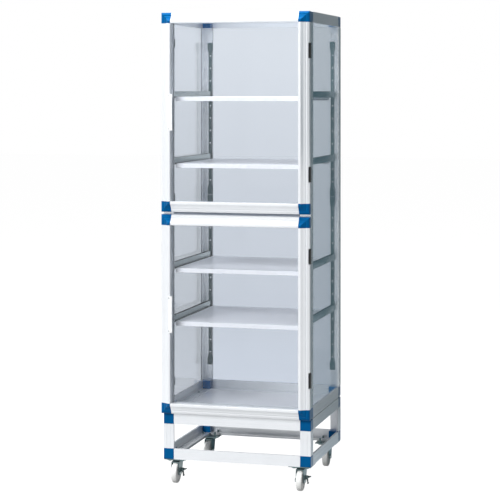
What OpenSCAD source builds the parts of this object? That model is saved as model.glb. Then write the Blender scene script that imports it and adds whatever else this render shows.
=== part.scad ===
// Clear-panelled storage cabinet on a castered stand.
// Aluminium angle extrusions meet in blue moulded corner blocks, two framed doors hang on the right,
// and four loose shelves rest on rails hooked into slotted standards.
// Millimetres, +Z up, front towards -Y, origin under the middle of the whole object.

/* [Cabinet] */
// Width across the doors
door_w = 570; // [500:5:640]
// Height of the cabinet body
cab_h = 1495; // [1450:5:1600]
// Depth of the cabinet body without the doors
cab_d = 510; // [420:5:600]
// Overhang of the doors past the body on each side
door_over = 2; // [1:0.5:4]
// Gap between the two doors
door_gap = 9; // [8:1:20]
// Gap between the back of a door and the body, filled by the seal
seal_gap = 4.5; // [4:0.1:6]

/* [Frame] */
// Width of each leg of the angle extrusion, and edge of a corner block
leg_w = 40; // [36:1:44]
// Thickness of each leg
leg_t = 8; // [7:0.5:10]
// Thickness of the clear panels
panel_t = 4; // [3:0.5:4]
// Rounding on the edges of the corner blocks
block_r = 2.5; // [1:0.5:4]

/* [Door frame] */
// Thickness of a door frame along its outer edge
edge_t = 19; // [17:0.5:20]
// Thickness of a door frame along its inner edge
nose_t = 36; // [34:0.5:40]
// Length of the finger pull
pull_h = 135; // [100:5:180]
// Reach of the finger pull past the inner edge of the stile
pull_reach = 8; // [6:1:12]
// Distance from a door's end to the middle of its hinge
hinge_inset = 145; // [100:5:200]

/* [Shelves] */
// Pitch of the slots in the standards
slot_pitch = 50; // [40:5:60]
// Slot number that carries each shelf, from the lowest slot of its standard
shelf_slots_lower = [4, 8]; // [0:1:10]
// Slot number that carries each upper shelf
shelf_slots_upper = [3, 8]; // [0:1:10]
// Height of the turned-down lips of a shelf
lip_h = 16; // [10:1:20]

/* [Stand] */
// Height of the open stand
stand_h = 175; // [140:5:260]
// Height from the floor to the underside of the stand
caster_h = 90; // [90:1:110]
// Diameter of a caster wheel
wheel_d = 75; // [70:1:75]
// Width of a caster wheel
wheel_w = 22; // [18:1:24]
// Distance from the stand's faces to a caster's swivel axis
caster_inset = 43; // [42:1:50]
// Angle at which the casters are turned
caster_turn = 2; // [-10:1:15]

/* [Hidden] */
$fn = 48;
// Running clearance on pins, and clearance around bolts and panels
run = 0.06;
loose = 0.1;
over = 1;

// Hinge barrel, pin and leaves
hinge_h = 54;
barrel_r = 4;
pin_r = 2;
leaf_t = 1.8;
leaf_w = 24;
knuckle_gap = 0.3;
hinge_out = barrel_r;

// Overall places
cab_w = door_w - 2 * door_over;
mid_x = -hinge_out / 2;
body_l = mid_x - cab_w / 2;
body_r = mid_x + cab_w / 2;
door_l = mid_x - door_w / 2;
door_r = mid_x + door_w / 2;
pull_t = 2.5;
all_d = cab_d + seal_gap + nose_t + pull_t;
body_b = all_d / 2;
body_f = body_b - cab_d;
door_y = body_f - seal_gap;
stand_z = caster_h;
cab_z = stand_z + stand_h;
seat_gap = 3;
frame_h = stand_h - seat_gap;
top_z = cab_z + cab_h;
door_h = (cab_h - door_gap) / 2;
upper_z = top_z - door_h;
lower_z = cab_z;

// Panel grooves, chambers, face lines and inner groove of the angle extrusion
groove_w = panel_t + 2 * loose;
groove_d = 6.5;
tuck = 6;
chamber_at = [leg_t + 3, leg_w / 2 + 3];
chamber_w = 6;
rib_w = 3;
rib_d = 1.5;
line_w = 2;
line_d = 0.8;
line_at = [0.3, 0.7];

// Slotted standards and the rails hooked into them, measured in from the body's side faces
std_in = 24.5;
std_w = 13;
std_d = 4;
std_foot = [21, 42];
slot_h = 6;
slot_w = 7.6;
low_std = [102, 784];
up_std = [786, cab_h - 98];
low_slot = 152;
up_slot = 794;
rail_in = 22;
rail_w = 13;
rail_t = 1.5;
rail_up = 8;
rail_down = 16.5;
ledge_w = 22;
ledge_t = 2;
rail_end = leg_t + std_d + 0.3;

// Shelf sheet and its place on the ledges
sheet_t = 1.5;
rest_gap = 0.2;
shelf_side = rail_in + rail_w + 8;
shelf_lip_y = 16;
lip_t = 2;
ledge_end = shelf_lip_y + lip_t + 0.5 - rail_end;

// Casters: trail, plates, kingpin, fork and brake lever
trail = 28;
wheel_r = wheel_d / 2;
gusset = [84, 3];
plate = [66, 3];
bolt_pitch = 24;
bolt_r = 4;
bolt_len = 22;
bolt_head = 3;
race_r = 19;
race_t = 4;
king_r = 5;
king_gap = 0.3;
crown_t = 3;
cheek_t = 2.5;
cheek_gap = 1.5;
axle_r = 5;
hub_w = wheel_w + 0.8;
dish = 0.8;
crown_z = caster_h - gusset[1] - plate[1] - race_t - king_gap - crown_t;
cheek_x = wheel_w / 2 + cheek_gap;
brake_y = -8;
brake_z = 46;
brake_x = cheek_x + cheek_t + 5;
brake_pin_r = 2.5;
brake_hub_w = 9.4;
brake_slot = [10.4, 14];
lug_t = 3;

front = -1;
back = 1;
left = -1;
right = 1;

alu = "#e4e8ec";
blue = "#0b5fa8";
clear = [0.78, 0.85, 0.9, 0.35];
slate = "#5c6b72";
zinc = "#8f989c";
black = "#2b2f31";
white = "#f4f5f5";

// Shared shapes

// Mirrors a child to the left or right and to the front or back of the body, with its outer corner
// at the body's vertical edge
module at_corner(sx, sy)
    translate([sx < 0 ? body_l : body_r, sy < 0 ? body_f : body_b, 0])
        mirror([sx < 0 ? 0 : 1, 0, 0])
            mirror([0, sy < 0 ? 0 : 1, 0])
                children();

module each_corner()
    for (sx = [left, right], sy = [front, back])
        at_corner(sx, sy) children();

module round_square(s, r) {
    translate([r, 0]) square([s - 2 * r, s]);
    translate([0, r]) square([s, s - 2 * r]);
    for (x = [r, s - r], y = [r, s - r])
        translate([x, y]) circle(r);
}

// Section of the angle extrusion, outer corner at the origin, legs along +X and +Y
module angle_section() {
    difference() {
        union() {
            square([leg_w, leg_t]);
            square([leg_t, leg_w]);
        }
        for (swap = [0, 1])
            mirror([swap, -swap, 0]) {
                translate([leg_w - groove_d, (leg_t - groove_w) / 2])
                    square([groove_d + over, groove_w]);
                for (u = chamber_at)
                    translate([u, leg_t / 4]) square([chamber_w, leg_t / 2]);
                translate([(leg_w - rib_w) / 2, leg_t - rib_d])
                    square([rib_w, rib_d + over]);
                for (f = line_at)
                    translate([leg_w * f - line_w / 2, -over])
                        square([line_w, line_d + over]);
            }
    }
}

// Angle extrusion standing on the origin
module angle_up(len)
    linear_extrude(len) angle_section();

// Angle extrusion along +X, one leg along +Y and one along +Z
module angle_along_x(len)
    rotate([90, 0, 90]) linear_extrude(len) angle_section();

// Angle extrusion along +Y, one leg along +X and one along +Z
module angle_along_y(len)
    translate([0, len, 0]) rotate([90, 0, 0]) linear_extrude(len) angle_section();

// Four posts of a frame, between the corner blocks of its bottom and top
module posts(z, h)
    each_corner()
        translate([0, 0, z + leg_w]) angle_up(h - 2 * leg_w);

// Four rails of a frame: flat leg at the bottom, or at the top when flipped
module rail_ring(z, flip)
    translate([0, 0, z])
        mirror([0, 0, flip ? 1 : 0]) {
            for (sy = [front, back])
                at_corner(left, sy) translate([leg_w, 0, 0]) angle_along_x(cab_w - 2 * leg_w);
            for (sx = [left, right])
                at_corner(sx, front) translate([0, leg_w, 0]) angle_along_y(cab_d - 2 * leg_w);
        }

module corner_block()
    intersection() {
        linear_extrude(leg_w) round_square(leg_w, block_r);
        rotate([90, 0, 90]) linear_extrude(leg_w) round_square(leg_w, block_r);
        translate([0, leg_w, 0]) rotate([90, 0, 0]) linear_extrude(leg_w) round_square(leg_w, block_r);
    }

module block_set(z, h)
    each_corner()
        for (dz = [0, h - leg_w])
            translate([0, 0, z + dz]) corner_block();

// Panel of size a by b, tucked into grooves on all four edges, with its corners cut clear of the blocks
module panel(a, b) {
    inner = leg_w - tuck;
    cut = tuck + loose;
    difference() {
        translate([inner, inner, 0]) cube([a - 2 * inner, b - 2 * inner, panel_t]);
        for (x = [leg_w - cut, a - leg_w], y = [leg_w - cut, b - leg_w])
            translate([x, y, -over]) cube([cut, cut, panel_t + 2 * over]);
    }
}

panel_in = (leg_t - panel_t) / 2;

// Cabinet body

// Screw holes in the front legs of the right-hand posts, for the hinge leaves
module body_posts()
    color(alu)
        difference() {
            posts(cab_z, cab_h);
            hinge_frame_screw_set(loose);
        }

module body_top_rails()
    color(alu) rail_ring(top_z, true);

module body_bottom_rails()
    color(alu)
        difference() {
            rail_ring(cab_z, false);
            stand_bolt_set(loose, false);
        }

// Dark flat hollow rail behind the gap between the doors
mid_rail_h = 88;
module body_mid_rail()
    color(slate)
        translate([body_l + leg_w, body_f, cab_z + (cab_h - mid_rail_h) / 2])
            rotate([90, 0, 90])
                linear_extrude(cab_w - 2 * leg_w)
                    difference() {
                        square([leg_t, mid_rail_h]);
                        for (y = [6, mid_rail_h / 2 + 2])
                            translate([leg_t / 4, y]) square([leg_t / 2, mid_rail_h / 2 - 8]);
                    }

module body_corner_blocks()
    color(blue) block_set(cab_z, cab_h);

module side_panel(sx)
    at_corner(sx, front)
        translate([panel_in, 0, cab_z])
            rotate([90, 0, 90]) panel(cab_d, cab_h);

module left_panel() color(clear) side_panel(left);
module right_panel() color(clear) side_panel(right);

module back_panel()
    color(clear)
        translate([body_l, body_b - panel_in, cab_z])
            rotate([90, 0, 0]) panel(cab_w, cab_h);

module flat_panel(z)
    translate([body_l, body_f, z]) panel(cab_w, cab_d);

module top_panel() color(clear) flat_panel(top_z - panel_in - panel_t);
module floor_panel() color(white) flat_panel(cab_z + panel_in);

// Shelf standards and rails

// One standard on the inside of a post's leg: a strip with a row of slots and a flared foot at each end
module standard(span, first_slot) {
    len = span[1] - span[0];
    count = floor((span[1] - first_slot - std_foot[1]) / slot_pitch);
    translate([std_in, leg_t, cab_z + span[0]]) {
        difference() {
            cube([std_w, std_d, len]);
            for (i = [0 : count])
                translate([(std_w - slot_w) / 2, -over, first_slot - span[0] + i * slot_pitch - slot_h / 2])
                    cube([slot_w, std_d + 2 * over, slot_h]);
        }
        for (end = [0, 1])
            translate([std_w / 2, 0, end * len])
                mirror([0, 0, end])
                    rotate([90, 0, 0])
                        translate([0, 0, -std_d])
                            linear_extrude(std_d)
                                polygon([[-std_foot[0] / 2, 0], [std_foot[0] / 2, 0],
                                         [std_foot[0] / 2, std_foot[1] * 0.6], [std_w / 2, std_foot[1]],
                                         [-std_w / 2, std_foot[1]], [-std_foot[0] / 2, std_foot[1] * 0.6]]);
    }
}

module shelf_standards()
    color(slate)
        each_corner() {
            standard(low_std, low_slot);
            standard(up_std, up_slot);
        }

// Height of the slot that carries each shelf, lowest shelf first
shelf_z = concat([for (n = shelf_slots_lower) cab_z + low_slot + n * slot_pitch],
                 [for (n = shelf_slots_upper) cab_z + up_slot + n * slot_pitch]);

// Folded rail with a ledge for the shelf and a tongue at each end for the standards' slots
module shelf_rail(z) {
    len = cab_d - 2 * rail_end;
    tongue = [6.6, 3.6, 5];
    rise = rail_up + rail_down;
    translate([rail_in, rail_end, z - rail_down]) {
        cube([rail_w, len, ledge_t]);
        translate([0, ledge_end, 0]) cube([rail_w + ledge_w, len - 2 * ledge_end, ledge_t]);
        for (x = [0, rail_w - rail_t])
            translate([x, 0, 0]) cube([rail_t, len, rise]);
        for (y = [0, len - rail_t])
            translate([0, y, 0]) cube([rail_w, rail_t, rise]);
        for (y = [-tongue[1], len - rail_t])
            translate([std_in - rail_in + (std_w - tongue[0]) / 2, y, rail_down - slot_h / 2])
                cube([tongue[0], tongue[1] + rail_t, tongue[2]]);
    }
}

module shelf_rails()
    color(slate)
        for (z = shelf_z, sx = [left, right])
            at_corner(sx, front) shelf_rail(z);

// Shelf of folded sheet, front and back edges turned down
module shelf(i)
    color(white)
        translate([body_l + shelf_side, body_f + shelf_lip_y,
                   shelf_z[i] - rail_down + ledge_t + rest_gap]) {
            w = cab_w - 2 * shelf_side;
            d = cab_d - 2 * shelf_lip_y;
            cube([w, d, sheet_t]);
            for (y = [0, d - lip_t])
                translate([0, y, sheet_t - lip_h]) cube([w, lip_t, lip_h]);
        }

module shelf_1() shelf(0);
module shelf_2() shelf(1);
module shelf_3() shelf(2);
module shelf_4() shelf(3);

// Hinges: the axis stands at the outer edge of the doors, halfway through their edge
axis_x = door_r;
axis_y = door_y - edge_t / 2;

module each_hinge(door_z)
    for (z = [door_z + hinge_inset, door_z + door_h - hinge_inset])
        translate([axis_x, axis_y, z - hinge_h / 2]) children();

module all_hinges() {
    each_hinge(lower_z) children();
    each_hinge(upper_z) children();
}

knuckle_h = hinge_h / 3;
screw_r = 1.5;
screw_head = 3;
screw_len = 5;
screw_z = [hinge_h * 0.2, hinge_h * 0.8];
leaf_x = -barrel_r - 1 - leaf_w;
screw_x = leaf_x + leaf_w / 3;

// Countersunk screw, head face at the origin and shank along +Y
module leaf_screw(c)
    rotate([-90, 0, 0]) {
        cylinder(h = leaf_t, r1 = screw_head + c, r2 = screw_r + c);
        cylinder(h = leaf_t + screw_len, r = screw_r + c);
    }

frame_leaf_y = body_f - leaf_t - axis_y;
module hinge_frame_screw_set(c)
    all_hinges()
        for (z = screw_z)
            translate([screw_x, frame_leaf_y, z]) leaf_screw(c);

module hinge_frame_screws() color(zinc) hinge_frame_screw_set(0);

// Leaf on the post: the upper and lower knuckles and the tabs that carry them
module frame_leaf()
    difference() {
        union() {
            translate([leaf_x, frame_leaf_y, 0])
                cube([leaf_w + 1, leaf_t, hinge_h]);
            for (z = [0, 2 * knuckle_h + knuckle_gap])
                translate([0, 0, z]) {
                    cylinder(h = knuckle_h - knuckle_gap, r = barrel_r);
                    translate([-barrel_r, 0, 0])
                        cube([barrel_r, frame_leaf_y + leaf_t, knuckle_h - knuckle_gap]);
                }
        }
        translate([0, 0, -over]) cylinder(h = hinge_h + 2 * over, r = pin_r);
        for (z = screw_z)
            translate([screw_x, frame_leaf_y, z]) leaf_screw(loose);
    }

module hinge_frame_leaves() color(black) all_hinges() frame_leaf();

module hinge_pins()
    color(black)
        all_hinges() {
            cylinder(h = hinge_h, r = pin_r);
            translate([0, 0, hinge_h]) cylinder(h = 1.5, r = barrel_r - 0.5);
        }

// Leaf on the back of a door: the middle knuckle and its tab
door_leaf_y = edge_t / 2;
module door_leaf()
    difference() {
        union() {
            translate([leaf_x, door_leaf_y, 0]) cube([leaf_w, leaf_t, hinge_h]);
            translate([0, 0, knuckle_h]) {
                cylinder(h = knuckle_h, r = barrel_r);
                translate([-barrel_r, 0, 0]) cube([barrel_r, door_leaf_y, knuckle_h]);
                translate([leaf_x + leaf_w - over, door_leaf_y, 0])
                    cube([over - leaf_x - leaf_w, leaf_t, knuckle_h]);
            }
        }
        translate([0, 0, -over]) cylinder(h = hinge_h + 2 * over, r = pin_r + run);
        for (z = screw_z)
            translate([screw_x, door_leaf_y + leaf_t, z]) mirror([0, 1, 0]) leaf_screw(loose);
    }

// Magnets on the left post that hold the doors shut, and the strikes they meet
magnet = [8, 3, 44];
strike_t = 0.8;
magnet_in = 12;
module at_catch(door_z)
    translate([body_l + magnet_in, 0, door_z + door_h / 2 - magnet[2] / 2]) children();

module catch_magnets()
    color(black)
        for (z = [lower_z, upper_z])
            at_catch(z) translate([0, body_f - magnet[1], 0]) cube(magnet);

// Doors

// Outline of the door frame's section: u runs in from the outer edge, v runs forward from the back
module door_outline()
    polygon([[0, 0], [leg_w, 0], [leg_w, nose_t - 2], [leg_w - 2, nose_t], [leg_w - 9.5, nose_t],
             [leg_w - 18.5, nose_t - 7.5], [leg_w - 25.5, edge_t + 6], [leg_w - 26.5, edge_t + 4],
             [leg_w - 30, edge_t + 3.5], [leg_w - 31, edge_t + 4], [2, edge_t], [0, edge_t - 2]]);

// Hollow section with the groove that holds the pane
pane_v = 10;
module door_section()
    difference() {
        door_outline();
        translate([leg_w - groove_d, pane_v - loose]) square([groove_d + over, groove_w]);
        translate([8, 2.5]) square([22, 11]);
        translate([leg_w - 9.5, nose_t - 13]) square([7, 9]);
    }

// Section swept up a stile, or along a rail whose outer edge is at the bottom
module sweep_stile(len)
    mirror([0, 1, 0]) linear_extrude(len) children();

module sweep_rail(len)
    mirror([0, 1, 0]) rotate([90, 0, 90]) linear_extrude(len) mirror([1, -1, 0]) children();

// Puts a child drawn at a door's lower left corner there, or mirrors it to another corner
module at_door(door_z, sx, sz)
    translate([sx < 0 ? door_l : door_r, door_y, sz < 0 ? door_z : door_z + door_h])
        mirror([sx < 0 ? 0 : 1, 0, 0])
            mirror([0, 0, sz < 0 ? 0 : 1])
                children();

// Stiles, the right one notched for the hinge barrels and drilled for the hinge and pull screws
module door_stiles(door_z)
    color(alu)
        difference() {
            for (sx = [left, right])
                at_door(door_z, sx, -1)
                    translate([0, 0, leg_w]) sweep_stile(door_h - 2 * leg_w) door_section();
            each_hinge(door_z)
                translate([-barrel_r - 1, -edge_t, -knuckle_gap - 1])
                    cube([2 * barrel_r, 1.5 * edge_t + over, hinge_h + 2 * knuckle_gap + 3]);
            door_screw_set(door_z, loose);
        }

module door_rails(door_z)
    color(alu)
        for (sz = [-1, 1])
            at_door(door_z, left, sz)
                translate([leg_w, 0, 0]) sweep_rail(door_w - 2 * leg_w) door_section();

module door_blocks(door_z)
    color(blue)
        for (sx = [left, right], sz = [-1, 1])
            at_door(door_z, sx, sz)
                intersection() {
                    sweep_stile(leg_w) door_outline();
                    sweep_rail(leg_w) door_outline();
                }

module door_pane(door_z)
    color(clear)
        translate([door_l, door_y - pane_v, door_z])
            rotate([90, 0, 0]) panel(door_w, door_h);

// Soft seal along the inner edge of the door's back
seal_in = 31.5;
seal_w = 6;
module door_seal(door_z)
    color(black)
        translate([door_l, door_y, door_z])
            difference() {
                translate([seal_in, 0, seal_in])
                    cube([door_w - 2 * seal_in, seal_gap - rest_gap, door_h - 2 * seal_in]);
                translate([seal_in + seal_w, -over, seal_in + seal_w])
                    cube([door_w - 2 * (seal_in + seal_w), seal_gap + 2 * over,
                          door_h - 2 * (seal_in + seal_w)]);
            }

// Finger pull on the inner edge of the left stile: a strip with a foot at each end
pull_land = 6;
pull_foot = [pull_reach, 10, 12];
module at_pull(door_z)
    translate([door_l + leg_w, door_y - nose_t, door_z + door_h / 2 - pull_h / 2]) children();

module door_pull(door_z)
    color(white)
        difference() {
            at_pull(door_z) {
                translate([-pull_land, -pull_t, 0]) cube([pull_land + pull_reach, pull_t, pull_h]);
                for (z = [0, pull_h - pull_foot[2]])
                    translate([0, 0, z]) cube(pull_foot);
            }
            pull_screw_set(door_z, loose);
        }

// Countersunk screws through the strip into the stile's nose
pull_screw_r = 1.2;
module pull_screw_set(door_z, c)
    at_pull(door_z)
        for (z = [pull_foot[2] / 2, pull_h - pull_foot[2] / 2])
            translate([-3.5, -pull_t, z])
                rotate([-90, 0, 0]) {
                    cylinder(h = 1.2, r1 = 2.2 + c, r2 = pull_screw_r + c);
                    cylinder(h = pull_t + 3.5, r = pull_screw_r + c);
                }

module door_hinge_screw_set(door_z, c)
    each_hinge(door_z)
        for (z = screw_z)
            translate([screw_x, door_leaf_y + leaf_t, z]) mirror([0, 1, 0]) leaf_screw(c);

module door_screw_set(door_z, c) {
    pull_screw_set(door_z, c);
    door_hinge_screw_set(door_z, c);
}

module door_screws(door_z) color(zinc) door_screw_set(door_z, 0);

module door_hinge_leaves(door_z) color(black) each_hinge(door_z) door_leaf();

module door_strike(door_z)
    color(zinc)
        at_catch(door_z) translate([-1, door_y, -1]) cube([magnet[0] + 2, strike_t, magnet[2] + 2]);

module upper_door_stiles() door_stiles(upper_z);
module upper_door_rails() door_rails(upper_z);
module upper_door_blocks() door_blocks(upper_z);
module upper_door_pane() door_pane(upper_z);
module upper_door_seal() door_seal(upper_z);
module upper_door_pull() door_pull(upper_z);
module upper_door_hinge_leaves() door_hinge_leaves(upper_z);
module upper_door_strike() door_strike(upper_z);
module upper_door_screws() door_screws(upper_z);

module lower_door_stiles() door_stiles(lower_z);
module lower_door_rails() door_rails(lower_z);
module lower_door_blocks() door_blocks(lower_z);
module lower_door_pane() door_pane(lower_z);
module lower_door_seal() door_seal(lower_z);
module lower_door_pull() door_pull(lower_z);
module lower_door_hinge_leaves() door_hinge_leaves(lower_z);
module lower_door_strike() door_strike(lower_z);
module lower_door_screws() door_screws(lower_z);

// Stand

// Bolts that hold the cabinet on the stand, through the flat legs of both frames, with a collar in the gap
stand_bolt_r = 3;
collar_r = 9;
module stand_bolt_set(c, heads) {
    grip = seat_gap / 2 + leg_t;
    for (sx = [left, right], f = [0.25, 0.75])
        at_corner(sx, front)
            translate([leg_w / 2, cab_d * f, cab_z - seat_gap / 2]) {
                translate([0, 0, -grip - 1]) cylinder(h = 2 * grip + 2, r = stand_bolt_r + c);
                if (heads) {
                    translate([0, 0, -seat_gap / 2]) cylinder(h = seat_gap, r = collar_r);
                    for (s = [0, 1])
                        mirror([0, 0, s]) translate([0, 0, grip]) cylinder(h = 5, r = 5.7, $fn = 6);
                }
            }
}

module stand_posts() color(alu) posts(stand_z, frame_h);

module stand_top_rails()
    color(alu)
        difference() {
            rail_ring(cab_z - seat_gap, true);
            stand_bolt_set(loose, false);
        }

module stand_bottom_rails()
    color(alu)
        difference() {
            rail_ring(stand_z, false);
            caster_bolt_set(loose, false);
        }

module stand_corner_blocks()
    color(blue)
        difference() {
            block_set(stand_z, frame_h);
            caster_bolt_set(loose, false);
        }

module stand_bolts() color(zinc) stand_bolt_set(0, true);

// Casters

module at_caster(sx, sy)
    translate([sx < 0 ? body_l + caster_inset : body_r - caster_inset,
               sy < 0 ? body_f + caster_inset : body_b - caster_inset, 0])
        children();

module each_caster()
    for (sx = [left, right], sy = [front, back])
        at_caster(sx, sy) children();

module four_holes()
    for (x = [-bolt_pitch, bolt_pitch], y = [-bolt_pitch, bolt_pitch])
        translate([x, y, 0]) children();

under_plate_z = stand_z - gusset[1] - plate[1];
module caster_bolt_set(c, heads)
    each_caster()
        four_holes()
            translate([0, 0, under_plate_z]) {
                cylinder(h = bolt_len, r = bolt_r + c);
                if (heads)
                    translate([0, 0, -bolt_head]) cylinder(h = bolt_head, r = 7.5, $fn = 6);
            }

// Plates under the stand's corners that carry the casters
module caster_gussets()
    color(zinc)
        difference() {
            each_caster()
                translate([-gusset[0] / 2, -gusset[0] / 2, stand_z - gusset[1]])
                    cube([gusset[0], gusset[0], gusset[1]]);
            caster_bolt_set(loose, false);
        }

// Top plate, ball race and headed kingpin of a caster
module caster_top_plates()
    color(zinc)
        difference() {
            each_caster() {
                translate([-plate[0] / 2, -plate[0] / 2, under_plate_z])
                    cube([plate[0], plate[0], plate[1]]);
                translate([0, 0, under_plate_z - race_t]) cylinder(h = race_t, r = race_r);
                translate([0, 0, crown_z - king_gap - 2]) {
                    cylinder(h = under_plate_z - crown_z + king_gap + 2, r = king_r);
                    cylinder(h = 2, r = king_r + 3);
                }
            }
            caster_bolt_set(loose, false);
        }

module caster_bolts() color(zinc) caster_bolt_set(0, true);

module turned_caster(sx, sy)
    at_caster(sx, sy) rotate([0, 0, caster_turn]) children();

// Side cheek of a fork in the Y-Z plane, thickness along +X
module cheek()
    rotate([90, 0, 90])
        linear_extrude(cheek_t)
            difference() {
                polygon([[14, crown_z + crown_t], [-40, crown_z + crown_t], [-43, crown_z - 12],
                         [-40, 34], [-34, 28], [-20, 27], [2, 31], [14, 64]]);
                translate([-trail, wheel_r]) circle(axle_r + loose);
            }

// Pressed fork: a crown that turns on the kingpin and two cheeks; with a brake it also has lugs and a pin
module fork(sx, sy, brake)
    color(zinc)
        turned_caster(sx, sy) {
            difference() {
                union() {
                    translate([0, 0, crown_z]) cylinder(h = crown_t, r = race_r + 2);
                    translate([-cheek_x - cheek_t, -40, crown_z])
                        cube([2 * (cheek_x + cheek_t), 54, crown_t]);
                    for (x = [-cheek_x - cheek_t, cheek_x])
                        translate([x, 0, 0]) cheek();
                }
                translate([0, 0, crown_z - over]) cylinder(h = crown_t + 2 * over, r = king_r + run);
                if (brake)
                    translate([cheek_x - over, brake_y - brake_slot[0] / 2, brake_z - 11.5])
                        cube([cheek_t + 2 * over, brake_slot[0], brake_slot[1]]);
            }
            if (brake) {
                for (s = [-1, 1])
                    translate([cheek_x + cheek_t - 0.5,
                               brake_y + s * (brake_hub_w + lug_t + 0.6) / 2 - lug_t / 2, brake_z - 5])
                        cube([brake_x - cheek_x - cheek_t + 4.5, lug_t, 10]);
                translate([brake_x, brake_y - brake_hub_w / 2 - lug_t, brake_z])
                    rotate([-90, 0, 0]) cylinder(h = brake_hub_w + 2 * lug_t, r = brake_pin_r);
            }
        }

// Nylon wheel: crowned tread, dished faces, hub with a plain bore
module wheel(sx, sy)
    color(white)
        turned_caster(sx, sy)
            translate([0, -trail, wheel_r])
                rotate([0, 90, 0])
                    rotate_extrude()
                        polygon([[axle_r + run, -hub_w / 2], [12, -hub_w / 2], [14, dish - wheel_w / 2],
                                 [wheel_r - 10, dish - wheel_w / 2], [wheel_r - 9, -wheel_w / 2],
                                 [wheel_r - 4, -wheel_w / 2], [wheel_r - 1, -wheel_w / 2 + 2.5],
                                 [wheel_r, -wheel_w / 4], [wheel_r, wheel_w / 4],
                                 [wheel_r - 1, wheel_w / 2 - 2.5], [wheel_r - 4, wheel_w / 2],
                                 [wheel_r - 9, wheel_w / 2], [wheel_r - 10, wheel_w / 2 - dish],
                                 [14, wheel_w / 2 - dish], [12, hub_w / 2], [axle_r + run, hub_w / 2]]);

// Axle bolt with a hexagon head and a nut, through both cheeks
module axle(sx, sy)
    color(zinc)
        turned_caster(sx, sy)
            translate([0, -trail, wheel_r])
                rotate([0, 90, 0]) {
                    reach = cheek_x + cheek_t;
                    translate([0, 0, -reach - 4]) cylinder(h = 2 * reach + 6, r = axle_r);
                    for (z = [-reach - 5, reach])
                        translate([0, 0, z]) cylinder(h = 5, r = 8, $fn = 6);
                }

// Brake lever: upper tread, lower release tread and a nose that swings in against the wheel
module brake_lever(sx)
    color(black)
        turned_caster(sx, front)
            translate([brake_x, brake_y + brake_hub_w / 2, brake_z])
                rotate([90, 0, 0])
                    linear_extrude(brake_hub_w)
                        difference() {
                            union() {
                                circle(4.5);
                                polygon([[0, -3], [8, -1], [15, 1.8], [15.6, 4.8], [8, 4.2], [0, 4.5]]);
                                polygon([[-1, -4], [2, -17], [2, -19], [1.6, -23], [6, -24],
                                         [7, -20.5], [4.8, -18.5], [3.8, -3]]);
                                polygon([[-4.5, -1], [-5.6, -6], [-5.6, -9.6], [-2.5, -9.6], [1, -3]]);
                            }
                            circle(brake_pin_r + run);
                        }

module caster_front_left_fork() fork(left, front, true);
module caster_front_left_wheel() wheel(left, front);
module caster_front_left_axle() axle(left, front);
module caster_front_right_fork() fork(right, front, true);
module caster_front_right_wheel() wheel(right, front);
module caster_front_right_axle() axle(right, front);
module caster_back_left_fork() fork(left, back, false);
module caster_back_left_wheel() wheel(left, back);
module caster_back_left_axle() axle(left, back);
module caster_back_right_fork() fork(right, back, false);
module caster_back_right_wheel() wheel(right, back);
module caster_back_right_axle() axle(right, back);
module front_left_brake_lever() brake_lever(left);
module front_right_brake_lever() brake_lever(right);

body_posts();
body_top_rails();
body_bottom_rails();
body_mid_rail();
body_corner_blocks();
left_panel();
right_panel();
back_panel();
top_panel();
floor_panel();
shelf_standards();
shelf_rails();
hinge_frame_leaves();
hinge_pins();
hinge_frame_screws();
catch_magnets();
stand_posts();
stand_top_rails();
stand_bottom_rails();
stand_corner_blocks();
stand_bolts();
caster_gussets();
caster_top_plates();
caster_bolts();
upper_door_stiles();
upper_door_rails();
upper_door_blocks();
upper_door_pane();
upper_door_seal();
upper_door_pull();
upper_door_hinge_leaves();
upper_door_strike();
upper_door_screws();
lower_door_stiles();
lower_door_rails();
lower_door_blocks();
lower_door_pane();
lower_door_seal();
lower_door_pull();
lower_door_hinge_leaves();
lower_door_strike();
lower_door_screws();
shelf_1();
shelf_2();
shelf_3();
shelf_4();
caster_front_left_fork();
caster_front_left_wheel();
caster_front_left_axle();
caster_front_right_fork();
caster_front_right_wheel();
caster_front_right_axle();
caster_back_left_fork();
caster_back_left_wheel();
caster_back_left_axle();
caster_back_right_fork();
caster_back_right_wheel();
caster_back_right_axle();
front_left_brake_lever();
front_right_brake_lever();
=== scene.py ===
"""Looks of the clear-panelled storage cabinet: finishes, soft edges, floor, light and camera."""
import math

import bpy
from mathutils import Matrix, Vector

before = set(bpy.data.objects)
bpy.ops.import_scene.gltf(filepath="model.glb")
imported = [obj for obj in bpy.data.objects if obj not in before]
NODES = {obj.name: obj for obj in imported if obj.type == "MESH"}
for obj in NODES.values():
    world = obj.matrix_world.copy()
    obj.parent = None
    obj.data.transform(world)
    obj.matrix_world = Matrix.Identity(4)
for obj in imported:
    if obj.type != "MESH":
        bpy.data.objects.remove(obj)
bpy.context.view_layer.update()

# Camera: place in metres, degrees to the right of the front, lens and sensor in millimetres
CAMERA_PLACE = (1.7055, -6.2065, 1.469)
CAMERA_YAW = 15.486
CAMERA_LENS = 120.79
CAMERA_SENSOR = 36.0
CAMERA_SHIFT_Y = -0.3186

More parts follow.
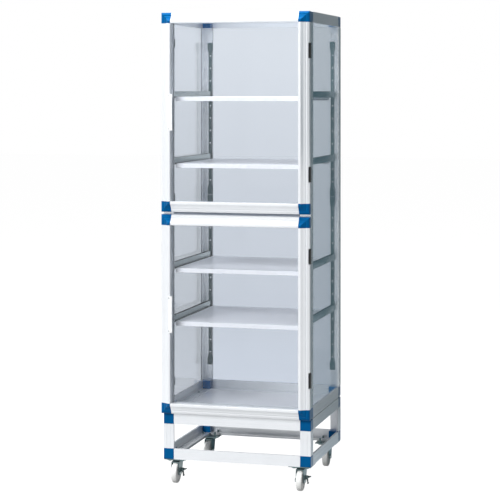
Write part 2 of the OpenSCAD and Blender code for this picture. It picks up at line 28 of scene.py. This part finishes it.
# Finishes, linear colour
WHITE = (1.0, 1.0, 1.0, 1.0)
ALUMINIUM = (0.78, 0.805, 0.835, 1.0)
BLUE = (0.0008, 0.090, 0.260, 1.0)
CLEAR_TINT = (0.965, 0.974, 0.984, 1.0)
LEFT_TINT = (0.835, 0.858, 0.888, 1.0)
# Back panel: the low tint is darker than the high one, painted shade towards the bottom
BACK_TINT_LOW = (0.725, 0.753, 0.800, 1.0)
BACK_TINT_HIGH = (0.858, 0.880, 0.910, 1.0)
PANEL_HAZE = (0.70, 0.74, 0.80, 1.0)
SHEET_WHITE = (0.885, 0.905, 1.0, 1.0)
SLATE = (0.060, 0.094, 0.100, 1.0)
# Mid rail: a dark grey that paints the shade of the gap between the doors onto the rail
GAP_SHADE_GREY = (0.36, 0.41, 0.50, 1.0)
RAIL_STEEL = (0.47, 0.52, 0.51, 1.0)
ZINC = (0.36, 0.41, 0.42, 1.0)
FORK_STEEL = (0.15, 0.21, 0.22, 1.0)
LEVER_DARK = (0.012, 0.042, 0.045, 1.0)
BLACK = (0.018, 0.020, 0.020, 1.0)
NYLON = (0.84, 0.85, 0.84, 1.0)
PULL_WHITE = (0.88, 0.89, 0.90, 1.0)
SEAL_GREY = (0.10, 0.11, 0.12, 1.0)

# Scale of the noise in each finish, and how far die lines are drawn out along an extrusion
DIE_LINES = 900.0
DIE_STRETCH = 0.02
ANODISED_CLOUD = 9.0
MOULDED_GRAIN = 1400.0
MOULDED_CLOUD = 40.0
METAL_GRAIN = 700.0
METAL_CLOUD = 60.0
PANEL_CLOUD = 3.0

# Darkest and lightest shade of the colour within each finish
ANODISED_SHADES = (0.96, 1.03)
MOULDED_SHADES = (0.90, 1.12)
METAL_SHADES = (0.85, 1.15)

# How far the roughness strays below and above its value
ANODISED_SPREAD = (0.0, 0.14)
MOULDED_SPREAD = (0.05, 0.08)
METAL_SPREAD = (0.06, 0.08)

# Depth of the bump in metres, and its strength
DIE_LINE_DEPTH = 0.00005
DIE_LINE_BUMP = 0.15
GRAIN_DEPTH = 0.00004
METAL_BUMP = 0.12

# Mirrors: share seen face on, share seen edge on, roughness; and how late the share rises with the angle
PANEL_MIRROR = (0.010, 1.0, 0.03)
SHEEN_MIRROR = (0.002, 0.9, 0.30)
GRAZING_POWER = 5.0

# Clear panels: heights between which the tint changes, darker towards the bottom as painted shade, its
# unevenness, and the share of haze
TINT_HEIGHTS = (0.25, 1.75)
TINT_UNEVEN = 0.1
HAZE_SHARE = 0.01
HAZE_ROUGHNESS = 0.5

# How far from the foot of a shelf rail the painted crevice shade reaches
CREVICE_SHADE_REACH = 0.012

# Fine edges: rounding of metal and of moulded pieces, its steps, and the angle that counts as sharp
METAL_EDGE = 0.0006
MOULDED_EDGE = 0.0012
EDGE_STEPS = 2
SHARP_ANGLE = math.radians(35)
WELD_REACH = 0.00001

# Finish of a node by the end of its name; the first that fits is taken
FINISHES = (
    ("body_posts", "alu_post"), ("_posts", "alu_z"), ("_stiles", "alu_z"),
    ("door_rails", "alu_x"), ("_top_rails", "alu_x"), ("_bottom_rails", "alu_x"),
    ("_mid_rail", "gap_shade"), ("_blocks", "blue"), ("floor_panel", "floor"),
    ("left_panel", "left"), ("back_panel", "back"), ("_panel", "clear"), ("_pane", "clear"),
    ("shelf_standards", "slate"), ("shelf_rails", "rail"), ("hinge_pins", "hinge"), ("_leaves", "hinge"),
    ("catch_magnets", "black"), ("_seal", "seal"), ("_pull", "pull"),
    ("_wheel", "nylon"), ("_lever", "lever"), ("_fork", "fork"), ("_gussets", "fork"),
    ("caster_top_plates", "fork"), ("caster_bolts", "fork"),
)
MOULDED_FINISHES = ("blue", "pull", "nylon")
METAL_FINISHES = ("alu_x", "alu_z", "alu_post", "zinc", "sheet", "floor", "fork")

# Stage: floor, surroundings, and lamps as name, place, target, size and watts
FLOOR_SIZE = 60.0
FLOOR_HEIGHT = -0.0005
FLOOR_GREY = (0.13, 0.13, 0.13, 1.0)
FLOOR_ROUGHNESS = 0.9
FLOOR_GLOW = 0.96
WORLD_LIGHT = 0.24
LAMPS = (
    ("key", (-3.2, -9.1, 4.3), (0.0, 0.0, 0.9), 4.5, 985.0),
    ("fill", (-3.0, 1.6, 1.3), (0.0, 0.0, 0.7), 1.6, 135.0),
    ("top", (-0.3, -0.3, 4.2), (0.0, 0.0, 0.8), 2.4, 240.0),
)

# Grey cards that mirrors see, painted reflections of dark and pale surroundings: name, place, turn about X
# and Y, width and length, near and far colour
CARD_LIGHT = (0.72, 0.84, 0.92, 1.0)
CARD_MIDDLE = (0.30, 0.37, 0.40, 1.0)
CARD_DARK = (0.080, 0.138, 0.165, 1.0)
FLAT = (0.0, 0.0)
FACING_SIDE = (0.0, math.pi / 2)
FACING_FRONT = (math.pi / 2, 0.0)
FLAGS = (
    ("flag_high", (0.62, 0.95, 1.9), FACING_SIDE, (1.4, 3.1), CARD_DARK, CARD_DARK),
    ("flag_low", (0.62, 1.25, 0.6), FACING_SIDE, (1.2, 2.1), CARD_DARK, CARD_DARK),
    ("flag_lying", (0.46, 0.75, 0.002), FLAT, (0.32, 1.7), CARD_LIGHT, CARD_MIDDLE),
    # flag_under and flag_back paint shade into reflections: the shade under the cabinet, and dark top edges
    # of the rails
    ("flag_under", (0.0, 0.7, 0.002), FLAT, (0.6, 1.0), CARD_DARK, CARD_DARK),
    ("flag_back", (0.16, 0.75, 0.19), FACING_FRONT, (0.28, 0.37), CARD_DARK, CARD_DARK),
)


# Node helpers

def new_material(name):
    """A material with an empty tree and a Principled shader; returns material, tree and shader."""
    material = bpy.data.materials.new(name)
    material.use_nodes = True
    tree = material.node_tree
    tree.nodes.clear()
    output = tree.nodes.new("ShaderNodeOutputMaterial")
    shader = tree.nodes.new("ShaderNodeBsdfPrincipled")
    tree.links.new(shader.outputs["BSDF"], output.inputs["Surface"])
    return material, tree, shader


def surface(tree):
    """Socket of the material's output that takes the shader."""
    return next(n for n in tree.nodes if n.type == "OUTPUT_MATERIAL").inputs["Surface"]


def add(tree, kind, inputs=None, **settings):
    """A new node with its settings and input values; a value that is a socket is linked."""
    node = tree.nodes.new(kind)
    for key, value in settings.items():
        setattr(node, key, value)
    for key, value in (inputs or {}).items():
        if isinstance(value, bpy.types.NodeSocket):
            tree.links.new(value, node.inputs[key])
        else:
            node.inputs[key].default_value = value
    return node


def position(tree):
    """Place on the object at rest, in metres."""
    return add(tree, "ShaderNodeTexCoord").outputs["Object"]


def noise(tree, vector, scale, detail=3.0, stretch=(1.0, 1.0, 1.0)):
    """Noise of the given scale, squeezed along each axis by stretch."""
    mapped = add(tree, "ShaderNodeMapping", {"Vector": vector, "Scale": stretch})
    return add(tree, "ShaderNodeTexNoise",
               {"Vector": mapped.outputs["Vector"], "Scale": scale, "Detail": detail}).outputs["Fac"]


def ramp(tree, value, low, high):
    """Value 0 to 1 mapped to the range from low to high."""
    ends = {"Value": value, "To Min": low, "To Max": high}
    return add(tree, "ShaderNodeMapRange", ends).outputs["Result"]


def blend_colour(tree, factor, first, second):
    """Mix of two colours."""
    node = add(tree, "ShaderNodeMix", data_type="RGBA")
    tree.links.new(factor, node.inputs["Factor"])
    for name, colour in (("A", first), ("B", second)):
        socket = next(s for s in node.inputs if s.name == name and s.type == "RGBA")
        socket.default_value = colour
    return next(s for s in node.outputs if s.type == "RGBA")


def shade(colour, amount):
    """Colour made darker or lighter by a factor."""
    return tuple(min(1.0, c * amount) for c in colour[:3]) + (1.0,)


def paint(tree, shader, cloud, colour, shades):
    """Base colour that wanders between two shades with a cloud of noise."""
    darkest, lightest = (shade(colour, amount) for amount in shades)
    tree.links.new(blend_colour(tree, cloud, darkest, lightest), shader.inputs["Base Color"])


def roughen(tree, shader, pattern, roughness, spread):
    """Roughness that strays around its value with a pattern of noise."""
    below, above = spread
    tree.links.new(ramp(tree, pattern, roughness - below, roughness + above), shader.inputs["Roughness"])


def bump(tree, shader, height, strength, distance):
    """Bump on the shader from a height."""
    node = add(tree, "ShaderNodeBump", {"Height": height, "Strength": strength, "Distance": distance})
    tree.links.new(node.outputs["Normal"], shader.inputs["Normal"])


def mirror_by_angle(tree, under, values):
    """Shader that mirrors over another one, by the angle of view; values as in PANEL_MIRROR."""
    face_on, edge_on, roughness = values
    mirror = add(tree, "ShaderNodeBsdfGlossy", {"Color": WHITE, "Roughness": roughness})
    facing = add(tree, "ShaderNodeLayerWeight", {"Blend": 0.5}).outputs["Facing"]
    grazing = add(tree, "ShaderNodeMath", {0: facing, 1: GRAZING_POWER}, operation="POWER").outputs["Value"]
    both = add(tree, "ShaderNodeMixShader", {"Fac": ramp(tree, grazing, face_on, edge_on)})
    tree.links.new(under, both.inputs[1])
    tree.links.new(mirror.outputs["BSDF"], both.inputs[2])
    return both.outputs["Shader"]


# Materials

def aluminium(name, along, metallic=0.45, roughness=0.30):
    """Satin anodised extrusion with fine die lines along one axis."""
    material, tree, shader = new_material(name)
    place = position(tree)
    stretch = tuple(DIE_STRETCH if axis == along else 1.0 for axis in "xyz")
    lines = noise(tree, place, DIE_LINES, 2.0, stretch)
    cloud = noise(tree, place, ANODISED_CLOUD)
    paint(tree, shader, cloud, ALUMINIUM, ANODISED_SHADES)
    roughen(tree, shader, lines, roughness, ANODISED_SPREAD)
    shader.inputs["Metallic"].default_value = metallic
    bump(tree, shader, lines, DIE_LINE_BUMP, DIE_LINE_DEPTH)
    return material


def moulded(name, colour, roughness, grain=0.25, gloss=0.5):
    """Moulded plastic or rubber with a fine grain and slightly uneven gloss."""
    material, tree, shader = new_material(name)
    place = position(tree)
    fine = noise(tree, place, MOULDED_GRAIN, 2.0)
    cloud = noise(tree, place, MOULDED_CLOUD)
    paint(tree, shader, cloud, colour, MOULDED_SHADES)
    roughen(tree, shader, cloud, roughness, MOULDED_SPREAD)
    shader.inputs["Specular IOR Level"].default_value = gloss
    bump(tree, shader, fine, grain, GRAIN_DEPTH)
    return material


def metal(name, colour, roughness, metallic=1.0, gloss=0.5):
    """Plated or painted steel with faint mottling."""
    material, tree, shader = new_material(name)
    place = position(tree)
    cloud = noise(tree, place, METAL_CLOUD, 4.0)
    fine = noise(tree, place, METAL_GRAIN, 2.0)
    paint(tree, shader, cloud, colour, METAL_SHADES)
    roughen(tree, shader, cloud, roughness, METAL_SPREAD)
    shader.inputs["Metallic"].default_value = metallic
    shader.inputs["Specular IOR Level"].default_value = gloss
    bump(tree, shader, fine, METAL_BUMP, GRAIN_DEPTH)
    return material


def clear_panel(name, low, high):
    """Clear sheet: a tint that goes from low to high up the cabinet, darker below as painted shade, a
    mirror and a faint haze.
    """
    material, tree, haze = new_material(name)
    place = position(tree)
    height = add(tree, "ShaderNodeSeparateXYZ", {"Vector": place}).outputs["Z"]
    cloud = noise(tree, place, PANEL_CLOUD, 2.0)
    uneven = add(tree, "ShaderNodeMath", {0: cloud, 1: TINT_UNEVEN, 2: height}, operation="MULTIPLY_ADD")
    lowest, highest = TINT_HEIGHTS
    ends = {"Value": uneven.outputs["Value"], "From Min": lowest, "From Max": highest}
    rise = add(tree, "ShaderNodeMapRange", ends).outputs["Result"]
    through = add(tree, "ShaderNodeBsdfTransparent")
    tree.links.new(blend_colour(tree, rise, low, high), through.inputs["Color"])
    clear = mirror_by_angle(tree, through.outputs["BSDF"], PANEL_MIRROR)
    haze.inputs["Base Color"].default_value = PANEL_HAZE
    haze.inputs["Roughness"].default_value = HAZE_ROUGHNESS
    hazed = add(tree, "ShaderNodeMixShader", {"Fac": HAZE_SHARE})
    tree.links.new(clear, hazed.inputs[1])
    tree.links.new(haze.outputs["BSDF"], hazed.inputs[2])
    tree.links.new(hazed.outputs["Shader"], surface(tree))
    return material


def sheen(material):
    """Adds to a moulded finish the gloss that shows at a flat angle."""
    tree = material.node_tree
    under = surface(tree).links[0].from_socket
    tree.links.new(mirror_by_angle(tree, under, SHEEN_MIRROR), surface(tree))
    return material


def crevice_shade(material, reach):
    """Paints shade into a finish: darkens its colour where another surface stands close to it."""
    tree = material.node_tree
    shader = next(n for n in tree.nodes if n.type == "BSDF_PRINCIPLED")
    plain = shader.inputs["Base Color"].links[0].from_socket
    darkened = add(tree, "ShaderNodeAmbientOcclusion", {"Color": plain, "Distance": reach})
    tree.links.new(darkened.outputs["Color"], shader.inputs["Base Color"])
    return material


def make_materials():
    """Every finish, by the name that FINISHES uses."""
    return {
        "alu_x": aluminium("aluminium_along_x", "x"),
        "alu_z": aluminium("aluminium_along_z", "z"),
        "alu_post": aluminium("aluminium_posts", "z", metallic=0.75, roughness=0.18),
        "blue": sheen(moulded("blue_plastic", BLUE, roughness=0.48, gloss=0.04)),
        "clear": clear_panel("clear_panel", shade(CLEAR_TINT, 0.99), shade(CLEAR_TINT, 1.01)),
        # the left and back panels darken towards the bottom: painted shade
        "left": clear_panel("left_panel", shade(LEFT_TINT, 0.83), shade(LEFT_TINT, 1.01)),
        "back": clear_panel("back_panel", BACK_TINT_LOW, BACK_TINT_HIGH),
        "sheet": metal("white_sheet", SHEET_WHITE, roughness=0.32, metallic=0.0),
        "floor": metal("floor_sheet", SHEET_WHITE, roughness=0.18, metallic=0.0, gloss=1.0),
        "slate": metal("slate_metal", SLATE, roughness=0.24, metallic=0.0, gloss=0.7),
        # the mid rail's dark grey is painted shade for the gap between the doors
        "gap_shade": metal("gap_shade_metal", GAP_SHADE_GREY, roughness=0.30, metallic=0.0, gloss=0.6),
        # the shelf rails get painted shade at their foot, in the gap by the shelf edge
        "rail": crevice_shade(metal("rail_steel", RAIL_STEEL, roughness=0.17), CREVICE_SHADE_REACH),
        "zinc": metal("zinc_steel", ZINC, roughness=0.34),
        "fork": metal("fork_steel", FORK_STEEL, roughness=0.36),
        "lever": moulded("lever_plastic", LEVER_DARK, roughness=0.42),
        "hinge": metal("black_hinge", BLACK, roughness=0.40, metallic=0.0),
        "black": moulded("black_plastic", BLACK, roughness=0.45),
        "nylon": moulded("white_nylon", NYLON, roughness=0.42),
        "pull": moulded("white_pull", PULL_WHITE, roughness=0.22, grain=0.1),
        "seal": moulded("grey_seal", SEAL_GREY, roughness=0.75, grain=0.4),
    }


def finish_of(node):
    """Name of the finish that a node takes; the shelves are white sheet, the small hardware is zinc."""
    for end, finish in FINISHES:
        if node.endswith(end):
            return finish
    return "sheet" if node.startswith("shelf_") else "zinc"


def soften(obj, width):
    """Rounds the sharp edges of a node a little, so that they catch the light."""
    weld = obj.modifiers.new("weld", "WELD")
    weld.merge_threshold = WELD_REACH
    bevel = obj.modifiers.new("soft_edges", "BEVEL")
    bevel.width = width
    bevel.segments = EDGE_STEPS
    bevel.limit_method = "ANGLE"
    bevel.angle_limit = SHARP_ANGLE
    bevel.use_clamp_overlap = True
    bevel.harden_normals = False


def dress(materials):
    """Puts its finish on every node, and soft edges on those that show them."""
    for name, obj in NODES.items():
        finish = finish_of(name)
        obj.data.materials.clear()
        obj.data.materials.append(materials[finish])
        if finish in MOULDED_FINISHES:
            soften(obj, MOULDED_EDGE)
        elif finish in METAL_FINISHES:
            soften(obj, METAL_EDGE)


# Stage

def white_to_sight(tree):
    """1 for camera, glossy and transmission rays, which see the white surroundings, else 0."""
    path = add(tree, "ShaderNodeLightPath")
    seen = path.outputs["Is Camera Ray"]
    for ray in ("Is Glossy Ray", "Is Transmission Ray"):
        either = add(tree, "ShaderNodeMath", {0: seen, 1: path.outputs[ray]}, operation="MAXIMUM")
        seen = either.outputs["Value"]
    return seen


def make_floor():
    """Pale floor that looks white and keeps the object's shadow."""
    bpy.ops.mesh.primitive_plane_add(size=FLOOR_SIZE, location=(0.0, 0.0, FLOOR_HEIGHT))
    floor = bpy.context.object
    floor.name = "floor"
    material, tree, shader = new_material("white_floor")
    shader.inputs["Base Color"].default_value = FLOOR_GREY
    shader.inputs["Roughness"].default_value = FLOOR_ROUGHNESS
    shader.inputs["Specular IOR Level"].default_value = 0.0
    glow = add(tree, "ShaderNodeEmission", {"Color": WHITE})
    strength = add(tree, "ShaderNodeMath", {0: white_to_sight(tree), 1: FLOOR_GLOW}, operation="MULTIPLY")
    tree.links.new(strength.outputs["Value"], glow.inputs["Strength"])
    total = add(tree, "ShaderNodeAddShader")
    tree.links.new(shader.outputs["BSDF"], total.inputs[0])
    tree.links.new(glow.outputs["Emission"], total.inputs[1])
    tree.links.new(total.outputs["Shader"], surface(tree))
    floor.data.materials.append(material)


def make_flag(name, place, turn, size, near, far):
    """Glowing card that only mirrors see, a painted reflection, turned about X and Y, shaded along its
    length from near to far.
    """
    bpy.ops.mesh.primitive_plane_add(size=1.0, location=place, rotation=(turn[0], turn[1], 0.0))
    flag = bpy.context.object
    flag.name = name
    flag.scale = (size[0], size[1], 1.0)
    for sight in ("camera", "diffuse", "transmission", "shadow"):
        setattr(flag, "visible_" + sight, False)
    material, tree, shader = new_material(name)
    along = add(tree, "ShaderNodeSeparateXYZ", {"Vector": position(tree)}).outputs["Y"]
    rise = add(tree, "ShaderNodeMath", {0: along, 1: 0.5}, operation="ADD").outputs["Value"]
    glow = add(tree, "ShaderNodeEmission", {"Color": blend_colour(tree, rise, near, far)})
    tree.links.new(glow.outputs["Emission"], surface(tree))
    tree.nodes.remove(shader)
    flag.data.materials.append(material)


def make_world():
    """Soft even surroundings, white to sight."""
    world = bpy.data.worlds.new("studio")
    bpy.context.scene.world = world
    world.use_nodes = True
    tree = world.node_tree
    tree.nodes.clear()
    output = tree.nodes.new("ShaderNodeOutputWorld")
    background = add(tree, "ShaderNodeBackground",
                     {"Color": WHITE, "Strength": ramp(tree, white_to_sight(tree), WORLD_LIGHT, 1.0)})
    tree.links.new(background.outputs["Background"], output.inputs["Surface"])


def make_lamp(name, place, target, size, energy):
    """Soft square lamp aimed at a point, not seen in mirrors."""
    data = bpy.data.lights.new(name, "AREA")
    data.size = size
    data.energy = energy
    lamp = bpy.data.objects.new(name, data)
    lamp.location = place
    lamp.rotation_euler = (Vector(target) - Vector(place)).to_track_quat("-Z", "Y").to_euler()
    lamp.visible_glossy = False
    bpy.context.collection.objects.link(lamp)


def make_camera():
    """The photo's view: level camera, turned to the right of the front, framed by its shift."""
    data = bpy.data.cameras.new("camera")
    data.lens = CAMERA_LENS
    data.sensor_width = CAMERA_SENSOR
    data.sensor_fit = "HORIZONTAL"
    data.shift_y = CAMERA_SHIFT_Y
    camera = bpy.data.objects.new("camera", data)
    camera.location = CAMERA_PLACE
    camera.rotation_euler = (math.pi / 2, 0.0, math.radians(CAMERA_YAW))
    bpy.context.collection.objects.link(camera)
    bpy.context.scene.camera = camera


dress(make_materials())
make_floor()
for flag_values in FLAGS:
    make_flag(*flag_values)
make_world()
for lamp_values in LAMPS:
    make_lamp(*lamp_values)
make_camera()
bpy.context.scene.view_settings.view_transform = "Standard"
